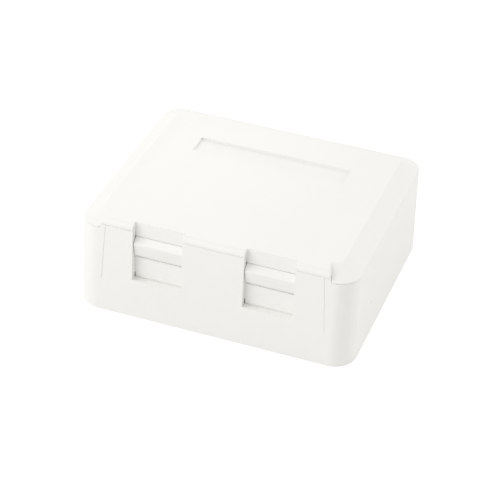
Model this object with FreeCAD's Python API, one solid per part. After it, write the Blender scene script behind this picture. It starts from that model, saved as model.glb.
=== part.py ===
import FreeCAD, Part
import math
import os
from FreeCAD import Vector

# Surface mount jack box: a drafted lower tray and a bevelled lid round one circuit board with two
# modular jacks, each behind its own spring-closed shutter.
# Millimetres. X runs along the front, -Y points out of the ports, +Z is up, and the origin is the
# middle of the underside.

# Outside form
BOX_WIDTH = 68.0
BOX_DEPTH = 58.4
BOX_HEIGHT = 25.4
DRAFT = 0.022
CORNER_RADIUS = 5.6
SIDE_BEVEL = 4.45
BACK_BEVEL = 4.1
FRONT_BEVEL = 4.2
BEVEL_FOOT = 23.1
TRAY_TOP = 22.7
JOINT_GAP = 0.06
LIP_HALF = 27.9
LIP_LEAN = 0.35
LIP_SPLAY = 0.17
LIP_EDGE = 1.2
LID_THICK = 2.0
RIB_FOOT = 21.6
LABEL_HALF = 19.2
LABEL_FRONT = 7.65
LABEL_BACK = 13.85
LABEL_DEPTH = 0.55

# Tray
WALL = 1.8
FLOOR = 2.0
FRONT_Y = -BOX_DEPTH / 2
TONGUE_BACK = FRONT_Y + 2.0
TONGUE_TOP = 23.8
GROOVE_WIDTH = 0.18
GROOVE_DEPTH = 0.12
GROOVE_TOP_X = 26.35
GROOVE_FOOT_X = 27.3
GROOVE_FOOT_Z = 9.1

# Ports and shutters: heights are above the underside, reaches are from a port's centre line
PORT_PITCH = 27.1
WINDOW_HALF = 6.1
WINDOW_SILL = 10.4
SHUTTER_HALF = 6.0
SHUTTER_FRONT = TONGUE_BACK + JOINT_GAP
SHUTTER_THICK = 1.1
SHUTTER_FOOT = 10.2
SHUTTER_TOP = 20.1
FLANGE_HALF = 7.3
FLANGE_FOOT = 11.6
EAR_REACH = 10.7
EAR_FOOT = 16.8
RIDGE_FRONT = FRONT_Y + 0.75
RIDGE_NOSE = 20.2
RIDGE_CHIN = 16.7
RIDGE_FOOT = 16.4
RIDGE_TOP = 21.5
RIDGE_ROUNDING = 0.3
GUIDE_LIP = TONGUE_BACK + 1.3
GUIDE_BACK = TONGUE_BACK + 2.0
SPRING_REACH = 8.6
SPRING_Y = TONGUE_BACK + 1.15
SPRING_MEAN_RADIUS = 0.96
SPRING_WIRE = 0.28
SPRING_TURNS = 6
SPRING_SIDES = 10
PEG_IN_SPRING = 0.65

# Board and what stands on it: sizes of a jack are from its front face and from the board
BOARD_HALF = 22.2
BOARD_FRONT = FRONT_Y + 5.0
BOARD_BACK = 11.0
BOARD_TOP = 10.0
BOARD_THICK = 1.6
JACK_HALF = 7.6
JACK_FRONT = FRONT_Y + 4.8
JACK_DEPTH = 16.5
JACK_HEIGHT = 13.0
MOUTH_FLOOR = 4.4
MOUTH_HALF = 5.9
MOUTH_DEPTH = 11.5
PEG_OFFSET = 5.7
PEG_BACK = 8.0
PEG_RADIUS = 1.5
CONTACT_PITCH = 1.02
CONTACT_WIDTH = 0.45
CONTACT_THICK = 0.35
TAIL_ROWS = (12.6, 14.6)
BLOCK_ROWS = {"front": -3.6, "back": 6.6}
BLOCK_LENGTH = 16.4
BLOCK_DEPTH = 5.6
BLOCK_HEIGHT = 10.0
CLIP_PITCH = 3.9
CLIP_SEAT = 2.0
SCREW_ROWS = (-14.0, 8.6)
SCREW_RADIUS = 1.25
POST_X = 20.4
POST_ROWS = (-22.2, 9.6)

# Fixing to the wall and cables
SLOT_X = 27.0
SLOT_LENGTH = 7.0
SLOT_HALF_WIDTH = 2.2
ENTRY_HALF = 3.8
ENTRY_SPRING_LINE = 5.4
TIE_Y = 18.5
PAD_HALF = 20.0
PAD_FRONT = -20.0
PAD_BACK = 12.0
PAD_THICK = 0.8


def block(x0, x1, y0, y1, z0, z1):
    """Rectangular block between two opposite corners."""
    return Part.makeBox(x1 - x0, y1 - y0, z1 - z0, Vector(x0, y0, z0))


def side_block(centre, side, near, far, y0, y1, z0, z1):
    """Block whose X span is measured outwards from a port's centre line."""
    x0, x1 = sorted((centre + side * near, centre + side * far))
    return block(x0, x1, y0, y1, z0, z1)


def upright(x, y, radius, z0, z1):
    """Upright cylinder."""
    return Part.makeCylinder(radius, z1 - z0, Vector(x, y, z0))


def prism(points, sweep):
    """Solid swept from a flat polygon."""
    return Part.Face(Part.makePolygon(points + points[:1])).extrude(sweep)


def across(profile, x0, x1):
    """Solid with a profile of (y, z) points, running along X."""
    return prism([Vector(x0, y, z) for y, z in profile], Vector(x1 - x0, 0, 0))


def frontal(profile, y0, y1):
    """Solid with a profile of (x, z) points, running along Y."""
    return prism([Vector(x, y0, z) for x, z in profile], Vector(0, y1 - y0, 0))


def six_sided(x, y, radius, z0, z1):
    """Upright six-sided rod for small pegs and pin holes: the flats are at the stated radius."""
    corners = [math.radians(60 * index) for index in range(6)]
    reach = radius / math.cos(math.radians(30))
    points = [Vector(x + reach * math.cos(t), y + reach * math.sin(t), z0) for t in corners]
    return prism(points, Vector(0, 0, z1 - z0))


def front_at(z):
    """Y of the drafted front face at a height."""
    return FRONT_Y + DRAFT * z


def rounded_outline(half_width, front, back, radius, z):
    """Rectangle with four rounded corners at height z."""
    corners = (
        (half_width - radius, front + radius, 270),
        (half_width - radius, back - radius, 0),
        (radius - half_width, back - radius, 90),
        (radius - half_width, front + radius, 180),
    )
    arcs = []
    for x, y, start in corners:
        turns = [math.radians(start + step) for step in (0, 45, 90)]
        rim = [Vector(x + radius * math.cos(t), y + radius * math.sin(t), z) for t in turns]
        arcs.append(Part.Arc(*rim))
    edges = []
    for arc, following in zip(arcs, arcs[1:] + arcs[:1]):
        edges.append(arc.toShape())
        edges.append(Part.makeLine(arc.EndPoint, following.StartPoint))
    return Part.Wire(edges)


def outer_outline(z):
    """The tray's drafted outside at a height."""
    lean = DRAFT * z
    radius = CORNER_RADIUS - lean
    return rounded_outline(BOX_WIDTH / 2 - lean, front_at(z), BOX_DEPTH / 2 - lean, radius, z)


def tray_inside():
    """The tray's straight-sided inside: the walls are thinnest at their top edge."""
    inset = DRAFT * TRAY_TOP + WALL
    half = BOX_WIDTH / 2 - inset
    radius = CORNER_RADIUS - inset
    outline = rounded_outline(half, TONGUE_BACK, BOX_DEPTH / 2 - inset, radius, FLOOR)
    return Part.Face(outline).extrude(Vector(0, 0, BOX_HEIGHT))


def oblong(x, y, length, half_width, z0, z1):
    """Upright slot-shaped solid along X."""
    straight = length / 2 - half_width
    core = block(x - straight, x + straight, y - half_width, y + half_width, z0, z1)
    ends = [upright(x + s * straight, y, half_width, z0, z1) for s in (-1, 1)]
    return core.fuse(ends).removeSplitter()


def lip_block(z0, z1, back, grow=0.0):
    """Block behind the drafted front between two heights, with the leaning, splayed ends of the lip."""
    wires = []
    for z in (z0, z1):
        front = front_at(z)
        front_half = LIP_HALF - LIP_LEAN * (z - BEVEL_FOOT) + grow
        back_half = front_half - LIP_SPLAY * (back - front)
        corners = [(-front_half, front), (front_half, front), (back_half, back), (-back_half, back)]
        points = [Vector(x, y, z) for x, y in corners]
        wires.append(Part.makePolygon(points + points[:1]))
    return Part.makeLoft(wires, True, True)


def tray_shell():
    """Drafted tray with its floor, four walls and the raised top of the front wall."""
    shell = Part.makeLoft([outer_outline(0), outer_outline(TRAY_TOP)], True, True)
    shell = shell.fuse(lip_block(TRAY_TOP - 1.0, TONGUE_TOP, TONGUE_BACK))
    return shell.cut(tray_inside())


def edge_groove(side):
    """Fine leaning groove down one side of the front, with its floor parallel to the drafted face."""
    half = GROOVE_WIDTH / 2
    top = TONGUE_TOP + 1
    slope = (GROOVE_FOOT_X - GROOVE_TOP_X) / (TONGUE_TOP - GROOVE_FOOT_Z)
    ends = ((GROOVE_FOOT_X, GROOVE_FOOT_Z), (GROOVE_TOP_X - slope, top))
    wires = []
    for x, z in ends:
        near, far = FRONT_Y - 1, front_at(z) + GROOVE_DEPTH
        corners = [(x - half, near), (x + half, near), (x + half, far), (x - half, far)]
        points = [Vector(side * reach, y, z) for reach, y in corners]
        wires.append(Part.makePolygon(points + points[:1]))
    return Part.makeLoft(wires, True, True)


def shutter_guide(centre, side):
    """Two channel rails behind a window that hold the shutter's flanges, and the spring's post."""
    foot = WINDOW_SILL - 0.6
    top = SHUTTER_TOP - 0.2
    inner = FLANGE_HALF + 0.15
    outer = EAR_REACH + 0.15
    rails = [
        side_block(centre, -side, inner, inner + 1, TONGUE_BACK, GUIDE_BACK, foot, top),
        side_block(centre, -side, inner - 0.65, inner + 1, GUIDE_LIP, GUIDE_BACK, foot, top),
        side_block(centre, side, outer, outer + 1, TONGUE_BACK, GUIDE_BACK, foot, top),
        side_block(centre, side, outer - 0.95, outer + 1, GUIDE_LIP, GUIDE_BACK, foot, top),
        six_sided(centre + side * SPRING_REACH, SPRING_Y, PEG_IN_SPRING, FLOOR - 0.5, FLOOR + 3),
    ]
    return rails


def tie_bridge(x):
    """Low bridge on the floor that a cable tie goes under."""
    body = block(x - 3.5, x + 3.5, TIE_Y - 2.4, TIE_Y + 2.4, FLOOR, FLOOR + 2.9)
    return body.cut(block(x - 4, x + 4, TIE_Y - 1.4, TIE_Y + 1.4, FLOOR, FLOOR + 1.5))


def cable_entry(x):
    """Round-topped opening in the back wall."""
    y0 = BOX_DEPTH / 2 - 4
    arch = block(x - ENTRY_HALF, x + ENTRY_HALF, y0, y0 + 5, FLOOR, ENTRY_SPRING_LINE)
    crown = Part.makeCylinder(ENTRY_HALF, 5, Vector(x, y0, ENTRY_SPRING_LINE), Vector(0, 1, 0))
    return arch.fuse(crown)


def snap_ridge():
    """Wedge inside the tongue between the windows that the lid's snap tab passes."""
    crest = TONGUE_BACK + 0.5
    return across([(TONGUE_BACK, 20.0), (crest, 20.7), (crest, 21.1), (TONGUE_BACK, 21.6)], -5, 5)


def base_tray():
    """Lower shell with the tongue, windows, guides, bosses, cable entries and wall slots."""
    tray = tray_shell()
    cuts = []
    adds = [snap_ridge()]
    for side in (-1, 1):
        centre = side * PORT_PITCH / 2
        cuts.append(block(centre - WINDOW_HALF, centre + WINDOW_HALF, FRONT_Y - 1, TONGUE_BACK + 0.5,
                          WINDOW_SILL, TONGUE_TOP + 1))
        cuts.append(edge_groove(side))
        cuts.append(cable_entry(centre))
        cuts.append(oblong(side * SLOT_X, 0, SLOT_LENGTH, SLOT_HALF_WIDTH, -1, FLOOR + 1))
        adds.extend(shutter_guide(centre, side))
        adds.append(tie_bridge(centre))
        for y in POST_ROWS:
            adds.append(six_sided(side * POST_X, y, 1.7, FLOOR - 0.5, BOARD_TOP - BOARD_THICK))
    cuts.append(oblong(0, 19.5, 18.0, 4.0, -1, FLOOR + 1))
    for y in SCREW_ROWS:
        adds.append(upright(0, y, 2.8, FLOOR, BOARD_TOP - BOARD_THICK))
    tray = tray.cut(cuts).fuse(adds)
    pilots = [upright(0, y, SCREW_RADIUS + 0.01, FLOOR + 0.8, BOARD_TOP) for y in SCREW_ROWS]
    recess = Part.Face(rounded_outline(PAD_HALF + 0.15, PAD_FRONT - 0.15, PAD_BACK + 0.15, 3.15, 0))
    return tray.cut(pilots + [recess.extrude(Vector(0, 0, PAD_THICK))]).removeSplitter()


def adhesive_pad():
    """Foam mounting pad that fills the recess in the underside."""
    pad = Part.Face(rounded_outline(PAD_HALF, PAD_FRONT, PAD_BACK, 3, 0))
    return pad.extrude(Vector(0, 0, PAD_THICK))


def lid_body():
    """Plate with a short upright land, the bevel all round and the raised lip at the front."""
    foot = TRAY_TOP + JOINT_GAP
    lean = DRAFT * BEVEL_FOOT
    bevel_back = front_at(BEVEL_FOOT) + FRONT_BEVEL
    top = rounded_outline(BOX_WIDTH / 2 - lean - SIDE_BEVEL, bevel_back,
                          BOX_DEPTH / 2 - lean - BACK_BEVEL, 2.2, BOX_HEIGHT)
    land = Part.makeLoft([outer_outline(foot), outer_outline(BEVEL_FOOT)], True, True)
    bevel = Part.makeLoft([outer_outline(BEVEL_FOOT), top], True, True)
    return land.fuse([bevel, lid_lip(bevel_back + 0.4)]).removeSplitter()


def lid_lip(back):
    """Forward lip: a bar with a rounded front edge, trimmed to ends that lean and splay."""
    x = -LIP_HALF
    front = front_at(BEVEL_FOOT)
    shrink = LIP_EDGE * (1 - math.cos(math.pi / 4))
    brow_foot = Vector(x, front_at(BOX_HEIGHT - LIP_EDGE), BOX_HEIGHT - LIP_EDGE)
    brow = Vector(x, brow_foot.y + shrink, BOX_HEIGHT - shrink)
    brow_top = Vector(x, brow_foot.y + LIP_EDGE, BOX_HEIGHT)
    corners = [brow_top, Vector(x, back, BOX_HEIGHT), Vector(x, back, BEVEL_FOOT),
               Vector(x, front, BEVEL_FOOT), brow_foot]
    edges = [Part.Arc(brow_foot, brow, brow_top).toShape()]
    edges.extend(Part.makeLine(a, b) for a, b in zip(corners, corners[1:]))
    bar = Part.Face(Part.Wire(edges)).extrude(Vector(2 * LIP_HALF, 0, 0))
    return bar.common(lip_block(BEVEL_FOOT, BOX_HEIGHT, back))


def lid_skirt():
    """Locating rib that drops inside the tray's side and back walls."""
    inset = DRAFT * TRAY_TOP + WALL + 0.2
    out_x = BOX_WIDTH / 2 - inset
    out_y = BOX_DEPTH / 2 - inset
    thick = 1.2
    foot = TRAY_TOP - 2.3
    rise = Vector(0, 0, 3.2)
    outside = rounded_outline(out_x, -out_y, out_y, 3.1, foot)
    inside = rounded_outline(out_x - thick, -out_y, out_y - thick, 3.1 - thick, foot)
    ring = Part.Face(outside).extrude(rise).cut(Part.Face(inside).extrude(rise))
    return ring.cut(block(-out_x, out_x, -out_y - 1, FRONT_Y + 5.6, foot - 1, foot + 5))


def snap_tab(ceiling):
    """Tab under the lid that slides down behind the tongue's ridge."""
    back = TONGUE_BACK + 1.8
    front = TONGUE_BACK + 0.8
    profile = [(front, ceiling), (front, 20.0), (front - 0.25, 19.8), (front + 0.2, 19.1), (back, 19.1),
               (back, ceiling)]
    return across(profile, -4.5, 4.5)


def lid():
    """Flat cover with bevels, label recess, window notches, skirt, snap tab and shutter stops."""
    body = lid_body()
    ceiling = BOX_HEIGHT - LID_THICK
    root = ceiling + 0.1
    foot = TRAY_TOP - 1
    seat_top = TONGUE_TOP + JOINT_GAP
    cuts = [
        block(-30.2, 30.2, FRONT_Y + 3.8, BOX_DEPTH / 2 - 3.8, foot, ceiling),
        lip_block(foot, seat_top, TONGUE_BACK + 0.1, JOINT_GAP),
        block(-LABEL_HALF, LABEL_HALF, LABEL_FRONT, LABEL_BACK, BOX_HEIGHT - LABEL_DEPTH, BOX_HEIGHT + 1),
    ]
    adds = [lid_skirt(), snap_tab(root)]
    rib_front = FRONT_Y + 2.25
    for side in (-1, 1):
        centre = side * PORT_PITCH / 2
        cuts.append(block(centre - WINDOW_HALF, centre + WINDOW_HALF, FRONT_Y - 1, rib_front,
                          foot, BOX_HEIGHT + 1))
        adds.append(block(centre - 6.6, centre + 6.6, rib_front, rib_front + 1.2, RIB_FOOT, root))
        adds.append(side_block(centre, side, SPRING_REACH - 0.4, EAR_REACH - 0.3, TONGUE_BACK + 0.6,
                               GUIDE_LIP + 0.5, SHUTTER_TOP + JOINT_GAP, root))
    return body.cut(cuts).fuse(adds).removeSplitter()


def shutter_blade():
    """Plate with two small rounded corners at its foot."""
    radius = 0.4
    half = SHUTTER_HALF
    corner_z = SHUTTER_FOOT + radius
    back = SHUTTER_FRONT + SHUTTER_THICK
    plate = block(-half, half, SHUTTER_FRONT, back, corner_z, SHUTTER_TOP)
    foot = block(radius - half, half - radius, SHUTTER_FRONT, back, SHUTTER_FOOT, corner_z + radius)
    along_y = Vector(0, 1, 0)
    corners = [Part.makeCylinder(radius, SHUTTER_THICK, Vector(x, SHUTTER_FRONT, corner_z), along_y)
               for x in (radius - half, half - radius)]
    return plate.fuse([foot] + corners)


def shutter_ridge():
    """Finger ridge: a top that slopes up to the lid, a rounded nose and an undercut front."""
    x = -SHUTTER_HALF
    back = SHUTTER_FRONT + SHUTTER_THICK
    nose = Vector(x, RIDGE_FRONT, RIDGE_NOSE)
    crest = Vector(x, FRONT_Y + 2.25, RIDGE_TOP)
    chin = Vector(x, RIDGE_FRONT + 0.85, RIDGE_CHIN)
    foot = Vector(x, SHUTTER_FRONT, RIDGE_FOOT)
    uphill = (crest - nose).normalize()
    downhill = (chin - nose).normalize()
    nose_top = nose + uphill * RIDGE_ROUNDING
    nose_foot = nose + downhill * RIDGE_ROUNDING
    inward = (uphill + downhill).normalize()
    half_angle = inward.getAngle(uphill)
    brow = nose + inward * RIDGE_ROUNDING * (1 - math.sin(half_angle)) / math.cos(half_angle)
    corners = [nose_top, crest, Vector(x, back, RIDGE_TOP), Vector(x, back, RIDGE_FOOT), foot, chin,
               nose_foot]
    edges = [Part.Arc(nose_foot, brow, nose_top).toShape()]
    edges.extend(Part.makeLine(a, b) for a, b in zip(corners, corners[1:]))
    return Part.Face(Part.Wire(edges)).extrude(Vector(2 * SHUTTER_HALF, 0, 0))


def shutter(side):
    """Sliding shutter: blade, finger ridge, guide flanges and the ear that sits on the spring."""
    back = SHUTTER_FRONT + SHUTTER_THICK
    flange = block(-FLANGE_HALF, FLANGE_HALF, SHUTTER_FRONT, back, FLANGE_FOOT, SHUTTER_TOP)
    ear = side_block(0, side, FLANGE_HALF - 0.5, EAR_REACH, SHUTTER_FRONT, back, EAR_FOOT, SHUTTER_TOP)
    cap = side_block(0, side, SPRING_REACH - 1.1, SPRING_REACH + 1.1, SHUTTER_FRONT, SPRING_Y + 1.1,
                     EAR_FOOT, SHUTTER_TOP - 0.4)
    nub = six_sided(side * SPRING_REACH, SPRING_Y, PEG_IN_SPRING, EAR_FOOT - 1.8, EAR_FOOT + 0.5)
    body = shutter_blade().fuse([shutter_ridge(), flange, ear, cap, nub]).removeSplitter()
    body.translate(Vector(side * PORT_PITCH / 2, 0, 0))
    return body


def spring(side):
    """Coil between the tray's floor and the shutter's ear, bent in short straight steps."""
    rise = EAR_FOOT - FLOOR - SPRING_WIRE
    steps = SPRING_TURNS * SPRING_SIDES
    places = []
    for step in range(steps + 1):
        turn = 2 * math.pi * step / SPRING_SIDES
        places.append(Vector(SPRING_MEAN_RADIUS * math.cos(turn), SPRING_MEAN_RADIUS * math.sin(turn),
                             rise * step / steps))
    along = places[1] - places[0]
    aside = along.cross(Vector(0, 0, 1)).normalize()
    upward = aside.cross(along).normalize()
    rim = []
    for corner in range(6):
        turn = math.radians(60 * corner)
        spot = aside * math.cos(turn) + upward * math.sin(turn)
        rim.append(places[0] + spot * (SPRING_WIRE / 2))
    path = Part.makePolygon(places)
    section = Part.makePolygon(rim + rim[:1])
    coil = path.makePipeShell([section], True, False, 1)
    coil.translate(Vector(side * (PORT_PITCH / 2 + SPRING_REACH), SPRING_Y, FLOOR + SPRING_WIRE / 2))
    return coil


def jack_housing(side):
    """Modular jack housing: stepped mouth, latch notch, contact channel, open tail well and two pegs."""
    body = block(-JACK_HALF, JACK_HALF, 0, JACK_DEPTH, 0, JACK_HEIGHT)
    ledge = MOUTH_FLOOR + 6
    hollows = [
        block(-MOUTH_HALF, MOUTH_HALF, -1, MOUTH_DEPTH, MOUTH_FLOOR, MOUTH_FLOOR + 6.7),
        block(-3.1, 3.1, -1, MOUTH_DEPTH, ledge, MOUTH_FLOOR + 7.3),
        block(-1.7, 1.7, -1, MOUTH_DEPTH, ledge, MOUTH_FLOOR + 7.8),
        block(-3.1, 3.1, 1.6, 8.5, ledge, MOUTH_FLOOR + 7.8),
        block(-4.3, 4.3, 1, JACK_DEPTH + 1, 2, 2.8),
        block(-4.3, 4.3, 1, 9.5, 2, MOUTH_FLOOR + 1),
        block(-4.3, 4.3, TAIL_ROWS[0] - 0.9, JACK_DEPTH + 1, -1, 2.8),
    ]
    pegs = [six_sided(s * PEG_OFFSET, PEG_BACK, PEG_RADIUS, -BOARD_THICK - 0.8, 0.5) for s in (-1, 1)]
    body = body.cut(hollows).fuse(pegs).removeSplitter()
    body.translate(Vector(side * PORT_PITCH / 2, JACK_FRONT, BOARD_TOP))
    return body


def bent_strip(points, thickness, width):
    """Wire of rectangular section bent in the YZ plane along a line of points."""
    normals = []
    for (y0, z0), (y1, z1) in zip(points, points[1:]):
        length = math.hypot(y1 - y0, z1 - z0)
        normals.append(((z0 - z1) / length, (y1 - y0) / length))
    offsets = [normals[0]]
    for (a, b), (c, d) in zip(normals, normals[1:]):
        scale = 1 + a * c + b * d
        offsets.append(((a + c) / scale, (b + d) / scale))
    offsets.append(normals[-1])
    half = thickness / 2
    near = [Vector(0, y + half * a, z + half * b) for (y, z), (a, b) in zip(points, offsets)]
    far = [Vector(0, y - half * a, z - half * b) for (y, z), (a, b) in zip(points, offsets)]
    return prism(near + far[::-1], Vector(width, 0, 0))


def jack_contacts(side):
    """Eight bent contact wires: tail in the board, run along the channel, spring arm in the mouth."""
    run = 2.0 + CONTACT_THICK / 2
    wires = []
    for index in range(8):
        tail = TAIL_ROWS[index % 2]
        points = [(tail, -BOARD_THICK - 1.2), (tail, run), (1.9, run), (1.6, 3.6), (8.6, 5.9)]
        wire = bent_strip(points, CONTACT_THICK, CONTACT_WIDTH)
        x = (index - 3.5) * CONTACT_PITCH - CONTACT_WIDTH / 2
        wire.translate(Vector(side * PORT_PITCH / 2 + x, JACK_FRONT, BOARD_TOP))
        wires.append(wire)
    return Part.makeCompound(wires)


def clip_places():
    """X offsets of a wiring block's four clips."""
    return [(index - 1.5) * CLIP_PITCH for index in range(4)]


def wiring_block(side, row):
    """Insulation-displacement block: four flared wire slots, each crossed by a clip pocket."""
    half = BLOCK_LENGTH / 2
    deep = BLOCK_DEPTH / 2
    body = block(-half, half, -deep, deep, 0, BLOCK_HEIGHT)
    cuts = []
    for x in clip_places():
        flare = [(x - 0.55, 4.4), (x + 0.55, 4.4), (x + 0.55, BLOCK_HEIGHT - 1.3),
                 (x + 1.2, BLOCK_HEIGHT + 0.1), (x - 1.2, BLOCK_HEIGHT + 0.1),
                 (x - 0.55, BLOCK_HEIGHT - 1.3)]
        cuts.append(frontal(flare, -deep - 1, deep + 1))
        cuts.append(block(x - 1.3, x + 1.3, -0.25, 0.25, CLIP_SEAT, BLOCK_HEIGHT + 1))
        cuts.append(block(x - 0.35, x + 0.35, -0.25, 0.25, -1, CLIP_SEAT + 1))
    body = body.cut(cuts)
    body.translate(Vector(side * PORT_PITCH / 2, BLOCK_ROWS[row], BOARD_TOP))
    return body


def block_clips(side, row):
    """The four slotted clips of one wiring block, with tails through the board."""
    clips = []
    for x in clip_places():
        plate = block(x - 1.2, x + 1.2, -0.2, 0.2, CLIP_SEAT, 8.2)
        tail = block(x - 0.3, x + 0.3, -0.2, 0.2, -BOARD_THICK - 1.2, CLIP_SEAT + 0.5)
        nip = [(x - 0.14, 4.8), (x + 0.14, 4.8), (x + 0.14, 7.2), (x + 0.6, 8.3), (x - 0.6, 8.3),
               (x - 0.14, 7.2)]
        clip = plate.fuse(tail).cut(frontal(nip, -1, 1)).removeSplitter()
        clip.translate(Vector(side * PORT_PITCH / 2, BLOCK_ROWS[row], BOARD_TOP))
        clips.append(clip)
    return Part.makeCompound(clips)


def circuit_board():
    """Board with holes for pegs, tails and screws."""
    foot = BOARD_TOP - BOARD_THICK
    plate = block(-BOARD_HALF, BOARD_HALF, BOARD_FRONT, BOARD_BACK, foot, BOARD_TOP)
    holes = [upright(0, y, SCREW_RADIUS + 0.15, foot - 1, BOARD_TOP + 1) for y in SCREW_ROWS]
    for side in (-1, 1):
        centre = side * PORT_PITCH / 2
        for s in (-1, 1):
            holes.append(six_sided(centre + s * PEG_OFFSET, JACK_FRONT + PEG_BACK, PEG_RADIUS + 0.1,
                                   foot - 1, BOARD_TOP + 1))
        for index in range(8):
            x = centre + (index - 3.5) * CONTACT_PITCH
            holes.append(six_sided(x, JACK_FRONT + TAIL_ROWS[index % 2], 0.32, foot - 1, BOARD_TOP + 1))
        for y in BLOCK_ROWS.values():
            holes.extend(six_sided(centre + x, y, 0.4, foot - 1, BOARD_TOP + 1) for x in clip_places())
    return plate.cut(holes)


def board_screw(y):
    """Self-tapping screw with a cheese head and a cross recess."""
    head_foot = BOARD_TOP
    head = upright(0, y, 2.3, head_foot, head_foot + 1.6)
    shank = upright(0, y, SCREW_RADIUS, head_foot - 6.8, head_foot)
    arms = [block(-1.2, 1.2, y - 0.25, y + 0.25, head_foot + 0.7, head_foot + 2),
            block(-0.25, 0.25, y - 1.2, y + 1.2, head_foot + 0.7, head_foot + 2)]
    return head.fuse(shank).cut(arms).removeSplitter()


def main():
    """Write one STEP file for each piece."""
    pieces = {
        "base_tray": base_tray(),
        "lid": lid(),
        "adhesive_pad": adhesive_pad(),
        "circuit_board": circuit_board(),
        "board_screws": Part.makeCompound([board_screw(y) for y in SCREW_ROWS]),
    }
    for side, name in ((-1, "left"), (1, "right")):
        pieces["shutter_" + name] = shutter(side)
        pieces["spring_" + name] = spring(side)
        pieces["jack_" + name] = jack_housing(side)
        pieces["contacts_" + name] = jack_contacts(side)
        for row in BLOCK_ROWS:
            pieces["wiring_block_" + row + "_" + name] = wiring_block(side, row)
            pieces["block_clips_" + row + "_" + name] = block_clips(side, row)
    os.makedirs("parts", exist_ok=True)
    for name, shape in pieces.items():
        shape.exportStep("parts/" + name + ".step")
        print(name, "valid" if shape.isValid() else "INVALID", len(shape.Solids), round(shape.Volume, 1))


main()
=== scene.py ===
import math

import bmesh
import bpy
from mathutils import Matrix, Vector


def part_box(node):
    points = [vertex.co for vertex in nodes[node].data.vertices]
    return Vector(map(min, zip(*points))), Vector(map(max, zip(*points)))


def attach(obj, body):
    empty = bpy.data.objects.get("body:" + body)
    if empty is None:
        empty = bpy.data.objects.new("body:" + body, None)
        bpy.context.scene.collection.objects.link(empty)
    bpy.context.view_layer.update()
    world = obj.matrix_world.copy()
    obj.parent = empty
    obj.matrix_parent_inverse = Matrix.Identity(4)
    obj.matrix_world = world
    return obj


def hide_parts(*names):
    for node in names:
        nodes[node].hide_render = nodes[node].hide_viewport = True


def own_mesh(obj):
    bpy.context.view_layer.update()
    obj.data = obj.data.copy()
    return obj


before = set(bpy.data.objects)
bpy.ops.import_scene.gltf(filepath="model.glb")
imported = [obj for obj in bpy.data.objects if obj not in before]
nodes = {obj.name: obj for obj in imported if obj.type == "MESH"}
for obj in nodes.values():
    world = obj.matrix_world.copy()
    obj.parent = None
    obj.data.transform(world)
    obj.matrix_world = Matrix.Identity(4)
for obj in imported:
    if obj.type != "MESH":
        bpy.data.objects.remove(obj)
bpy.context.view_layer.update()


# Tray: the lower half of the housing, one injection moulding in white ABS. A fine groove runs down each
# end of its front, and the board, jacks and shutters all sit in it.
def graph(tree):
    """Empties a node tree and returns a function that adds nodes to it, with settings and socket values."""
    tree.nodes.clear()
    place = "ShaderNode" if tree.bl_idname == "ShaderNodeTree" else "GeometryNode"

    def add(kind, inputs=(), **settings):
        known = kind if kind.startswith(("Node", "Shader", "Function")) else place + kind
        node = tree.nodes.new(known)
        for key, value in settings.items():
            setattr(node, key, value)
        for key, value in dict(inputs).items():
            if isinstance(value, bpy.types.NodeSocket):
                tree.links.new(value, node.inputs[key])
            else:
                node.inputs[key].default_value = value
        return node

    return add


def sockets(tree, way, kind, **defaults):
    """Adds named sockets to a node group's interface."""
    for name, value in defaults.items():
        label = name.replace("_", " ")
        socket = tree.interface.new_socket(name=label, in_out=way, socket_type="NodeSocket" + kind)
        if value is not None:
            socket.default_value = value


mould_skin = bpy.data.node_groups.new("mould_skin", "ShaderNodeTree")
sockets(mould_skin, "INPUT", "Color", Colour=None)
sockets(mould_skin, "INPUT", "Float", Flow=0.03, Roughness=0.4, Grain=2600.0, Polish=0.3)
sockets(mould_skin, "OUTPUT", "Color", Colour=None)
sockets(mould_skin, "OUTPUT", "Float", Roughness=None, Height=None)
add = graph(mould_skin)
given = add("NodeGroupInput").outputs
place = add("TexCoord").outputs["Object"]
swirl = add("TexNoise", {"Vector": place, "Scale": 70.0, "Detail": 3.0, "Roughness": 0.55}).outputs["Fac"]
grain = add("TexNoise", {"Vector": place, "Scale": given["Grain"], "Detail": 2.0, "Roughness": 0.6})
grain = grain.outputs["Fac"]
pits = add("TexVoronoi", {"Vector": place, "Scale": given["Grain"]}).outputs["Distance"]
sway = add("Math", {0: swirl, 1: 0.5}, operation="SUBTRACT").outputs[0]
shade = add("Math", {0: sway, 1: given["Flow"], 2: 1.0}, operation="MULTIPLY_ADD").outputs[0]
tint = add("VectorMath", {0: given["Colour"], "Scale": shade}, operation="SCALE").outputs[0]
point = add("NewGeometry").outputs["Pointiness"]
crest = add("MapRange", {"Value": point, "From Min": 0.52, "From Max": 0.6}).outputs[0]
shine = add("Math", {0: crest, 1: given["Polish"]}, operation="MULTIPLY").outputs[0]
matt = add("Math", {0: shine, 1: -1.0, 2: 1.0}, operation="MULTIPLY_ADD").outputs[0]
speckle = add("Math", {0: grain, 1: 0.12, 2: -0.06}, operation="MULTIPLY_ADD").outputs[0]
rough = add("Math", {0: given["Roughness"], 1: speckle}, operation="ADD").outputs[0]
rough = add("Math", {0: rough, 1: matt}, operation="MULTIPLY").outputs[0]
relief = add("Math", {0: pits, 1: 0.5, 2: grain}, operation="MULTIPLY_ADD").outputs[0]
add("NodeGroupOutput", {"Colour": tint, "Roughness": rough, "Height": relief})


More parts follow.
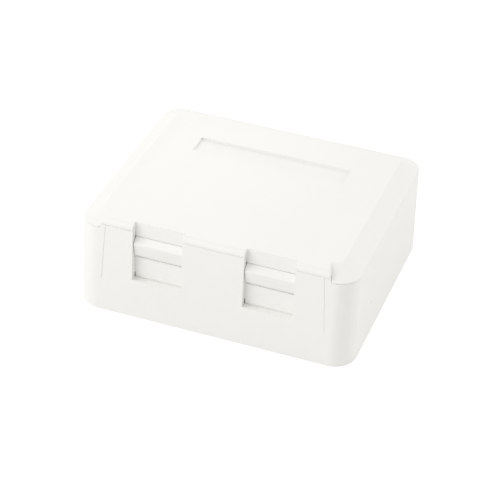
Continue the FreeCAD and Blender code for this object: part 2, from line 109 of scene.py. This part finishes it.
def moulded_plastic(name, colour, roughness, grain=2600.0, depth=0.00002, flow=0.03):
    """Opaque moulded plastic that carries the texture of its mould."""
    material = bpy.data.materials.new(name)
    material.use_nodes = True
    add = graph(material.node_tree)
    skin = add("Group", node_tree=mould_skin)
    skin.inputs["Colour"].default_value = (*colour, 1.0)
    skin.inputs["Flow"].default_value = flow
    skin.inputs["Roughness"].default_value = roughness
    skin.inputs["Grain"].default_value = grain
    bump = add("Bump", {"Height": skin.outputs["Height"], "Strength": 0.35, "Distance": depth})
    plastic = add("BsdfPrincipled", {"Base Color": skin.outputs["Colour"], "Normal": bump.outputs[0],
                                     "Roughness": skin.outputs["Roughness"]})
    add("OutputMaterial", {"Surface": plastic.outputs[0]})
    return material


def fit(piece, material, body):
    """Gives a finished piece its material and its body."""
    piece.data.materials.clear()
    piece.data.materials.append(material)
    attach(piece, body)


def placed(name, mesh):
    """New object at the origin for a mesh."""
    piece = bpy.data.objects.new(name, mesh)
    bpy.context.scene.collection.objects.link(piece)
    return piece


def settled(piece, name):
    """Turns a piece with live modifiers into a plain mesh."""
    shape = piece.evaluated_get(bpy.context.evaluated_depsgraph_get())
    mesh = bpy.data.meshes.new_from_object(shape)
    bpy.data.objects.remove(piece)
    mesh.name = name
    return placed(name, mesh)


def solid(name, shape):
    """New object at the origin for a finished shape."""
    mesh = bpy.data.meshes.new(name)
    shape.to_mesh(mesh)
    shape.free()
    return placed(name, mesh)


def rounded(node, name, edge, also=None, fine=None, fine_edge=0.0, cutter=None):
    """Copy of a solid with its sharp edges rounded, which stands for the solid. Also picks shallow creases
    to round, fine picks edges for a smaller radius, and a cutter first takes a small form out of it."""
    shape = bmesh.new()
    shape.from_mesh(nodes[node].data)
    bmesh.ops.remove_doubles(shape, verts=shape.verts, dist=2e-6)
    flat = math.radians(0.6)
    bmesh.ops.dissolve_limit(shape, angle_limit=flat, verts=shape.verts, edges=shape.edges)
    triangles = [face for face in shape.faces if len(face.verts) == 3]
    bmesh.ops.join_triangles(shape, faces=triangles, angle_face_threshold=math.radians(12),
                             angle_shape_threshold=math.radians(180))
    weight = shape.edges.layers.float.new("bevel_weight_edge")
    for rim in shape.edges:
        if len(rim.link_faces) != 2:
            continue
        a, b = (end.co for end in rim.verts)
        turn = rim.calc_face_angle()
        if also and also(a, b, turn):
            rim[weight] = 1.0
        elif turn > math.radians(24):
            rim[weight] = fine_edge / edge if fine and fine(a, b) else 1.0
    piece = solid(name + "_blank", shape)
    if cutter:
        cut = piece.modifiers.new("cut", "BOOLEAN")
        cut.object = cutter
        cut.solver = "EXACT"
    rounds = piece.modifiers.new("rounds", "BEVEL")
    rounds.limit_method = "WEIGHT"
    rounds.width = edge
    rounds.segments = 3
    rounds.use_clamp_overlap = False
    rounds.loop_slide = False
    piece = settled(piece, name + "_soft")
    piece.data.shade_smooth()
    piece.data.set_sharp_from_angle(angle=math.radians(32))
    even = piece.modifiers.new("even", "WEIGHTED_NORMAL")
    even.keep_sharp = True
    piece = settled(piece, name)
    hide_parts(node)
    return piece


def tray_joint(a, b):
    """Picks the tray's edges that must stay crisp: grooves, windows and what meets the lid."""
    at_front = min(a.y, b.y) < -0.027 and max(a.z, b.z) > 0.009
    return (at_front and abs(a.x) < 0.0276) or min(a.z, b.z) > 0.0226


white_abs = moulded_plastic("white_abs", (0.904, 0.896, 0.868), 0.42)
joint_edge = 0.00003
tray = rounded("base_tray", "tray", 0.0001, fine=tray_joint, fine_edge=joint_edge)
fit(tray, white_abs, "base")

# Gate mark: the small round scar on the tray's right wall. It was left where the plastic was let into the
# mould, and its torn face is rougher than the wall round it.
gate_radius = 0.00045
gate_place = Matrix.Translation((0.03382, -0.0134, 0.0091)) @ Matrix.Rotation(math.pi / 2, 4, "Y")
gate = bmesh.new()
bmesh.ops.create_cone(gate, cap_ends=True, segments=20, radius1=gate_radius, radius2=gate_radius * 0.8,
                      depth=0.00012)
bmesh.ops.transform(gate, verts=gate.verts, matrix=gate_place)
torn_abs = moulded_plastic("torn_abs", (0.84, 0.835, 0.82), 0.6, 6000.0)
fit(solid("gate_mark", gate), torn_abs, "base")

# Mounting pad: a rounded rectangle of closed-cell foam tape, cut from sheet. It is stuck in the recess under
# the tray.
foam = bpy.data.materials.new("closed_cell_foam")
foam.use_nodes = True
add = graph(foam.node_tree)
place = add("TexCoord").outputs["Object"]
cells = add("TexVoronoi", {"Vector": place, "Scale": 3200.0}, feature="SMOOTH_F1").outputs["Distance"]
cloud = add("TexNoise", {"Vector": place, "Scale": 180.0, "Detail": 4.0}).outputs["Fac"]
tint = add("ValToRGB", {"Fac": cloud})
tint.color_ramp.elements[0].color = (0.66, 0.66, 0.64, 1.0)
tint.color_ramp.elements[1].color = (0.78, 0.78, 0.76, 1.0)
dull = add("MapRange", {"Value": cells, "To Min": 0.95, "To Max": 0.75}).outputs[0]
bump = add("Bump", {"Height": cells, "Strength": 0.6, "Distance": 0.00012})
body = add("BsdfPrincipled", {"Base Color": tint.outputs[0], "Roughness": dull, "Normal": bump.outputs[0]})
add("OutputMaterial", {"Surface": body.outputs[0]})
pad = rounded("adhesive_pad", "pad", 0.00012)
fit(pad, foam, "base")

# Circuit board: green solder mask over glass laminate, with copper tracks from each jack's pins to the
# wiring blocks and a ring of solder at each pin.
board_low, board_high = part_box("circuit_board")
jack_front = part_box("jack_left")[0].y
port_x = (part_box("jack_right")[0].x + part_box("jack_right")[1].x) / 2
laminate = bpy.data.materials.new("solder_mask")
laminate.use_nodes = True
add = graph(laminate.node_tree)
place = add("TexCoord").outputs["Object"]
threads = {"Vector": place, "Scale": 900.0, "Distortion": 0.4}
warp, weft = (add("TexWave", threads, bands_direction=way).outputs["Fac"] for way in "XY")
weave = add("Math", {0: warp, 1: weft}, operation="MAXIMUM").outputs[0]
cloud = add("TexNoise", {"Vector": place, "Scale": 160.0, "Detail": 3.0}).outputs["Fac"]
tint = add("ValToRGB", {"Fac": cloud})
tint.color_ramp.elements[0].color = (0.012, 0.12, 0.05, 1.0)
tint.color_ramp.elements[1].color = (0.025, 0.19, 0.085, 1.0)
glaze = add("MapRange", {"Value": cloud, "To Min": 0.22, "To Max": 0.36}).outputs[0]
bump = add("Bump", {"Height": weave, "Strength": 0.12, "Distance": 0.00002})
body = add("BsdfPrincipled", {"Base Color": tint.outputs[0], "Roughness": glaze, "Normal": bump.outputs[0]})
add("OutputMaterial", {"Surface": body.outputs[0]})
board = rounded("circuit_board", "board", 0.00005)
fit(board, laminate, "base")


def metal(name, colour, dark, roughness, scratches=900.0):
    """Bare or plated metal with uneven tarnish and fine rub marks."""
    material = bpy.data.materials.new(name)
    material.use_nodes = True
    add = graph(material.node_tree)
    place = add("TexCoord").outputs["Object"]
    cloud = add("TexNoise", {"Vector": place, "Scale": 420.0, "Detail": 4.0}).outputs["Fac"]
    rub = add("TexNoise", {"Vector": place, "Scale": scratches * 4, "Detail": 2.0}).outputs["Fac"]
    tint = add("ValToRGB", {"Fac": cloud})
    tint.color_ramp.elements[0].position = 0.3
    tint.color_ramp.elements[0].color = (*dark, 1.0)
    tint.color_ramp.elements[1].position = 0.6
    tint.color_ramp.elements[1].color = (*colour, 1.0)
    worn = add("MapRange", {"Value": rub, "To Min": roughness - 0.08, "To Max": roughness + 0.12})
    bump = add("Bump", {"Height": rub, "Strength": 0.15, "Distance": 0.00001})
    body = add("BsdfPrincipled", {"Base Color": tint.outputs[0], "Metallic": 1.0, "Roughness": worn.outputs[0],
                                  "Normal": bump.outputs[0]})
    add("OutputMaterial", {"Surface": body.outputs[0]})
    return material


solder = metal("solder", (0.72, 0.72, 0.7), (0.5, 0.5, 0.49), 0.3)
mask_over_copper = moulded_plastic("mask_over_copper", (0.04, 0.3, 0.13), 0.28, 1500.0, 0.000005)
tail_rows = (0.0126, 0.0146)
contact_pitch = 0.00102
clip_rows = (-0.0036, 0.0066)
clip_pitch = 0.0039
jack_pins = []
clip_pins = []
for port in (-port_x, port_x):
    for index in range(8):
        tail_y = jack_front + tail_rows[index % 2]
        jack_pins.append(Vector((port + (index - 3.5) * contact_pitch, tail_y, 0)))
    for row in clip_rows:
        clip_pins.extend(Vector((port + (index - 1.5) * clip_pitch, row, 0)) for index in range(4))


def modifier_tree(piece, tree, values):
    """Puts a geometry tree on a piece as a modifier, with its named inputs set."""
    modifier = piece.modifiers.new(tree.name, "NODES")
    modifier.node_group = tree
    for item in tree.interface.items_tree:
        if item.in_out == "INPUT" and item.name in values:
            modifier[item.identifier] = values[item.name]


rings = bpy.data.node_groups.new("solder_rings", "GeometryNodeTree")
sockets(rings, "INPUT", "Geometry", Pins=None)
sockets(rings, "INPUT", "Float", Radius=0.0004, Bead=0.0001)
sockets(rings, "INPUT", "Material", Metal=None)
sockets(rings, "OUTPUT", "Geometry", Rings=None)
add = graph(rings)
given = add("NodeGroupInput").outputs
loop = add("CurvePrimitiveCircle", {"Resolution": 12, "Radius": given["Radius"]}).outputs["Curve"]
bead = add("CurvePrimitiveCircle", {"Resolution": 6, "Radius": given["Bead"]}).outputs["Curve"]
ring = add("CurveToMesh", {"Curve": loop, "Profile Curve": bead}).outputs[0]
many = add("InstanceOnPoints", {"Points": given["Pins"], "Instance": ring}).outputs[0]
whole = add("RealizeInstances", {0: many}).outputs[0]
plated = add("SetMaterial", {"Geometry": whole, "Material": given["Metal"]}).outputs[0]
add("NodeGroupOutput", {"Rings": plated})
pin_mesh = bpy.data.meshes.new("pins")
pin_mesh.from_pydata([(p.x, p.y, board_high.z) for p in jack_pins + clip_pins], [], [])
pins = placed("pin_places", pin_mesh)
modifier_tree(pins, rings, {"Radius": 0.00048, "Bead": 0.0001, "Metal": solder})
fit(settled(pins, "solder_rings"), solder, "base")

tracks = bpy.data.node_groups.new("copper_tracks", "GeometryNodeTree")
sockets(tracks, "INPUT", "Geometry", Routes=None)
sockets(tracks, "INPUT", "Float", Width=0.0003, Height=0.00004)
sockets(tracks, "INPUT", "Material", Mask=None)
sockets(tracks, "OUTPUT", "Geometry", Tracks=None)
add = graph(tracks)
given = add("NodeGroupInput").outputs
strip = add("CurvePrimitiveQuadrilateral", {"Width": given["Width"], "Height": given["Height"]}).outputs[0]
line = add("CurveToMesh", {"Curve": given["Routes"], "Profile Curve": strip, "Fill Caps": True}).outputs[0]
covered = add("SetMaterial", {"Geometry": line, "Material": given["Mask"]}).outputs[0]
add("NodeGroupOutput", {"Tracks": covered})
routes = bpy.data.curves.new("routes", "CURVE")
routes.dimensions = "3D"
for port in range(2):
    for index in range(8):
        start = jack_pins[port * 8 + index]
        goal = clip_pins[port * 8 + (index // 2) + 4 * (index % 2)]
        height = board_high.z if index % 2 == 0 else board_low.z
        shift = abs(goal.x - start.x)
        bend = Vector((start.x, max(start.y + 0.0006, goal.y - 0.0012 - shift), 0))
        knee = Vector((goal.x, bend.y + shift, 0))
        line = routes.splines.new("POLY")
        line.points.add(3)
        for point, spot in zip(line.points, (start, bend, knee, goal)):
            point.co = (spot.x, spot.y, height, 1.0)
path = placed("route_lines", routes)
modifier_tree(path, tracks, {"Width": 0.0003, "Height": 0.00004, "Mask": mask_over_copper})
fit(settled(path, "copper_tracks"), mask_over_copper, "base")

# Jacks: two modular sockets in natural white polybutylene, pegged into the board with their mouths
# behind the shutters.
jack_plastic = moulded_plastic("jack_plastic", (0.80, 0.79, 0.75), 0.34, 3000.0, 0.00001)
for side in ("left", "right"):
    socket = rounded("jack_" + side, "socket_" + side, 0.00008)
    fit(socket, jack_plastic, "base")

# Contacts: eight wires in each jack, bent from spring bronze and plated with gold. Their tails pass
# through the board.
gold = metal("gold_plate", (0.90, 0.66, 0.26), (0.74, 0.50, 0.18), 0.26)
for side in ("left", "right"):
    fit(nodes["contacts_" + side], gold, "base")

# Wiring blocks: four-way insulation-displacement blocks in pale polycarbonate, two behind each jack. Each
# slot has a colour mark beside it for its wire.
block_plastic = moulded_plastic("block_plastic", (0.74, 0.73, 0.69), 0.3, 3000.0, 0.00001)
mark_colours = {"blue": (0.02, 0.12, 0.5), "orange": (0.8, 0.22, 0.02), "green": (0.02, 0.3, 0.08),
                "brown": (0.2, 0.08, 0.03)}
mark_inks = {name: moulded_plastic("ink_" + name, colour, 0.5) for name, colour in mark_colours.items()}
mark_order = {"front": ("blue", "orange", "green", "brown"), "back": ("orange", "blue", "brown", "green")}
mark_size = Matrix.Diagonal((0.0009, 0.0042, 0.00006, 1.0))
for row, hues in mark_order.items():
    for side in ("left", "right"):
        name = row + "_" + side
        block_low, block_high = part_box("wiring_block_" + name)
        fit(rounded("wiring_block_" + name, "wiring_" + name, 0.0001), block_plastic, "base")
        centre = (block_low + block_high) / 2
        for index, hue in enumerate(hues):
            mark = bmesh.new()
            bmesh.ops.create_cube(mark, size=1.0)
            spot = Matrix.Translation((centre.x + (index - 2) * clip_pitch, centre.y, block_high.z))
            bmesh.ops.transform(mark, verts=mark.verts, matrix=spot @ mark_size)
            upright = [e for e in mark.edges if abs(e.verts[0].co.z - e.verts[1].co.z) > 1e-6]
            bmesh.ops.bevel(mark, geom=upright, offset=0.0002, segments=3, affect="EDGES")
            label = solid("mark_" + name + "_" + str(index), mark)
            fit(label, mark_inks[hue], "base")

# Block clips: four in each block, stamped from tinned phosphor bronze and pressed in. Each has a fork that
# cuts through its wire's insulation.
tinned = metal("tinned_bronze", (0.74, 0.73, 0.70), (0.56, 0.55, 0.52), 0.32)
for row in ("front", "back"):
    for side in ("left", "right"):
        fit(nodes["block_clips_" + row + "_" + side], tinned, "base")

# Board screws: two self-tapping screws of zinc-plated steel with cross recesses. They hold the board down on
# the tray's bosses.
zinc = metal("zinc_plate", (0.66, 0.67, 0.68), (0.45, 0.46, 0.48), 0.3)
screws = rounded("board_screws", "screws", 0.0002)
fit(screws, zinc, "base")

# Springs: one coil of drawn wire under each shutter's ear, standing on a peg. In the box it shortens as the
# shutter is pushed down; here it is drawn at one length and stays with the tray.
spring_steel = metal("spring_steel", (0.60, 0.60, 0.61), (0.42, 0.42, 0.44), 0.3)
coils = bpy.data.node_groups.new("coil_spring", "GeometryNodeTree")
sockets(coils, "INPUT", "Geometry", Place=None)
sockets(coils, "INPUT", "Float", Radius=0.00096, Wire=0.00028, Length=0.0148, Turns=9.0, End_turns=1.25)
sockets(coils, "INPUT", "Material", Steel=None)
sockets(coils, "OUTPUT", "Geometry", Spring=None)
add = graph(coils)
given = add("NodeGroupInput").outputs
helix = add("CurveSpiral", {"Resolution": 20, "Rotations": given["Turns"], "Start Radius": given["Radius"],
                            "End Radius": given["Radius"], "Height": 0.0}).outputs[0]
along = add("SplineParameter").outputs["Factor"]
end = add("ShaderNodeMath", {0: given["End turns"], 1: given["Turns"]}, operation="DIVIDE").outputs[0]
far_end = add("ShaderNodeMath", {0: 1.0, 1: end}, operation="SUBTRACT").outputs[0]
closed = add("ShaderNodeMath", {0: given["Turns"], 1: given["Wire"]}, operation="MULTIPLY").outputs[0]
clear = add("ShaderNodeMath", {0: given["Length"], 1: given["Wire"]}, operation="SUBTRACT").outputs[0]
opened = add("ShaderNodeMath", {0: clear, 1: closed}, operation="SUBTRACT").outputs[0]
climb = add("ShaderNodeMapRange", {"Value": along, "From Min": end, "From Max": far_end, "To Max": opened})
climb = climb.outputs[0]
rise = add("ShaderNodeMath", {0: along, 1: closed, 2: climb}, operation="MULTIPLY_ADD").outputs[0]
lift = add("ShaderNodeCombineXYZ", {"Z": rise}).outputs[0]
raised = add("SetPosition", {"Geometry": helix, "Offset": lift}).outputs[0]
half_wire = add("ShaderNodeMath", {0: given["Wire"], 1: 0.5}, operation="MULTIPLY").outputs[0]
section = add("CurvePrimitiveCircle", {"Resolution": 8, "Radius": half_wire}).outputs["Curve"]
wire = add("CurveToMesh", {"Curve": raised, "Profile Curve": section, "Fill Caps": True}).outputs[0]
drawn = add("SetMaterial", {"Geometry": wire, "Material": given["Steel"]}).outputs[0]
add("NodeGroupOutput", {"Spring": drawn})
for side in ("left", "right"):
    coil_low, coil_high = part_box("spring_" + side)
    coil = placed("coil_blank", bpy.data.meshes.new("coil"))
    tall = coil_high.z - coil_low.z
    modifier_tree(coil, coils, {"Length": tall, "Steel": spring_steel})
    coil = settled(coil, "coil_" + side)
    middle = (coil_low + coil_high) / 2
    coil.data.transform(Matrix.Translation((middle.x, middle.y, coil_low.z + 0.00014)))
    coil.data.shade_smooth()
    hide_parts("spring_" + side)
    fit(coil, spring_steel, "base")
    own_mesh(coil)

# Shutters: two sliding doors moulded in white acetal, which run in the tray's guides. Each has a full-width
# finger ridge along its top and a thin nail groove cut in under the ridge.
white_acetal = moulded_plastic("white_acetal", (0.91, 0.90, 0.868), 0.36, depth=0.000012)
groove_y, groove_z = -0.02725, 0.01628
groove_size = Matrix.Diagonal((0.0118, 0.0009, 0.00075, 1))
for side in ("left", "right"):
    jack_low, jack_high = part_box("jack_" + side)
    middle = (jack_low.x + jack_high.x) / 2
    nail_groove = bmesh.new()
    bmesh.ops.create_cube(nail_groove, size=1.0)
    spot = Matrix.Translation((middle, groove_y, groove_z))
    bmesh.ops.transform(nail_groove, verts=nail_groove.verts, matrix=spot @ groove_size)
    groove = solid("nail_groove", nail_groove)
    door = rounded("shutter_" + side, "door_" + side, 0.00004, cutter=groove)
    bpy.data.objects.remove(groove)
    fit(door, white_acetal, "shutter_" + side)

# Lid: the flat cover, moulded in the same white ABS. It has a bevel on three sides, a forward lip over the
# tongue and a shallow bare recess for a paper label.
lid_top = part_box("lid")[1].z


def lid_shoulder(a, b, turn):
    """Picks the creases between the lid's flat top and its bevel."""
    return min(a.z, b.z) > lid_top - 1e-5 and math.radians(18) < turn < math.radians(50)


def lid_joint(a, b):
    """Picks the lid's lower edges, which must stay crisp where they meet the tray."""
    return max(a.z, b.z) < 0.0241


cover = rounded("lid", "cover", 0.00012, lid_shoulder, lid_joint, joint_edge)
fit(cover, white_abs, "lid")

# Floor: a plain white sheet that keeps a faint shadow. It lies just under the box, is clear from below and
# lets the shortest rays through, so that the underside is lit and can be looked at.
gap = 0.00003
contact = 0.0003
corners = [(x, y, -gap) for x, y in ((-2, -2), (2, -2), (2, 2), (-2, 2))]
floor_mesh = bpy.data.meshes.new("floor")
floor_mesh.from_pydata(corners, [], [(0, 1, 2, 3)])
floor = placed("floor", floor_mesh)
paper = bpy.data.materials.new("paper")
paper.use_nodes = True
add = graph(paper.node_tree)
rays = add("LightPath").outputs
matt = add("BsdfDiffuse", {"Color": (0.85, 0.85, 0.85, 1.0)}).outputs[0]
glow = add("Emission", {"Color": (1.0, 1.0, 1.0, 1.0), "Strength": 0.45}).outputs[0]
bright = add("AddShader", {0: matt, 1: glow}).outputs[0]
sheet = add("MixShader", {0: rays["Is Camera Ray"], 1: matt, 2: bright}).outputs[0]
below = add("NewGeometry").outputs["Backfacing"]
touching = add("Math", {0: rays["Ray Length"], 1: contact}, operation="LESS_THAN").outputs[0]
open_to = add("Math", {0: below, 1: touching}, operation="MAXIMUM").outputs[0]
clear = add("BsdfTransparent").outputs[0]
surface = add("MixShader", {0: open_to, 1: sheet, 2: clear}).outputs[0]
add("OutputMaterial", {"Surface": surface})
floor_mesh.materials.append(paper)

# Room: a white backdrop with soft even light, and four square lamps round the box. The first two stand in
# front of it on the left, the others behind it.
room = bpy.data.worlds.new("room")
room.use_nodes = True
bpy.context.scene.world = room
add = graph(room.node_tree)
rays = add("LightPath").outputs
seen = add("Math", {0: rays["Is Camera Ray"], 1: rays["Is Glossy Ray"]}, operation="MAXIMUM").outputs[0]
seen = add("Math", {0: seen, 1: rays["Is Transmission Ray"]}, operation="MAXIMUM").outputs[0]
fill = add("Background", {"Color": (1.0, 1.0, 1.0, 1.0), "Strength": 0.74}).outputs[0]
white = add("Background", {"Color": (1.0, 1.0, 1.0, 1.0), "Strength": 1.0}).outputs[0]
add("OutputWorld", {"Surface": add("MixShader", {0: seen, 1: fill, 2: white}).outputs[0]})


box_middle = Vector((0, 0, 0.012))


def towards(azimuth, elevation):
    """Direction from the box. Azimuth is 0 in front and 90 to the right."""
    a, e = math.radians(azimuth), math.radians(elevation)
    return Vector((math.sin(a) * math.cos(e), -math.cos(a) * math.cos(e), math.sin(e)))


def softbox(name, azimuth, elevation, distance, size, watts):
    """Square lamp aimed at the box."""
    lamp = bpy.data.lights.new(name, "AREA")
    lamp.shape = "SQUARE"
    lamp.size = size
    lamp.energy = watts
    holder = placed(name, lamp)
    back = towards(azimuth, elevation)
    holder.location = back * distance + box_middle
    holder.rotation_mode = "QUATERNION"
    holder.rotation_quaternion = (-back).to_track_quat("-Z", "Y")


softbox("left", -60, 40, 0.7, 0.35, 1.17)
softbox("front", -30, 5, 0.7, 0.35, 0.82)
softbox("right", 120, 20, 0.7, 0.35, 1.17)
softbox("back", -150, 20, 0.7, 0.35, 0.42)

# Camera: a long lens in front of the box, a little to its right and above it. It leans slightly to one side.
camera_azimuth = 18.262
camera_distance = 0.43899
roll = math.radians(2.853)
turn = math.radians(camera_azimuth)
back = towards(camera_azimuth, 34.602)
right = Vector((math.cos(turn), math.sin(turn), 0))
up = back.cross(right)
across = right * math.cos(roll) + up * math.sin(roll)
upward = up * math.cos(roll) - right * math.sin(roll)
eye = box_middle + back * camera_distance - across * 0.001007 - upward * 0.005109
lens = bpy.data.cameras.new("camera")
lens.sensor_width = 36.0
lens.lens = 131.25
lens.clip_start = 0.01
lens.clip_end = 20.0
camera = placed("camera", lens)
turned = [[*row, shift] for row, shift in zip(zip(across, upward, back), eye)]
camera.matrix_world = Matrix(turned + [[0, 0, 0, 1]])
bpy.context.scene.camera = camera
bpy.context.scene.view_settings.view_transform = "Standard"
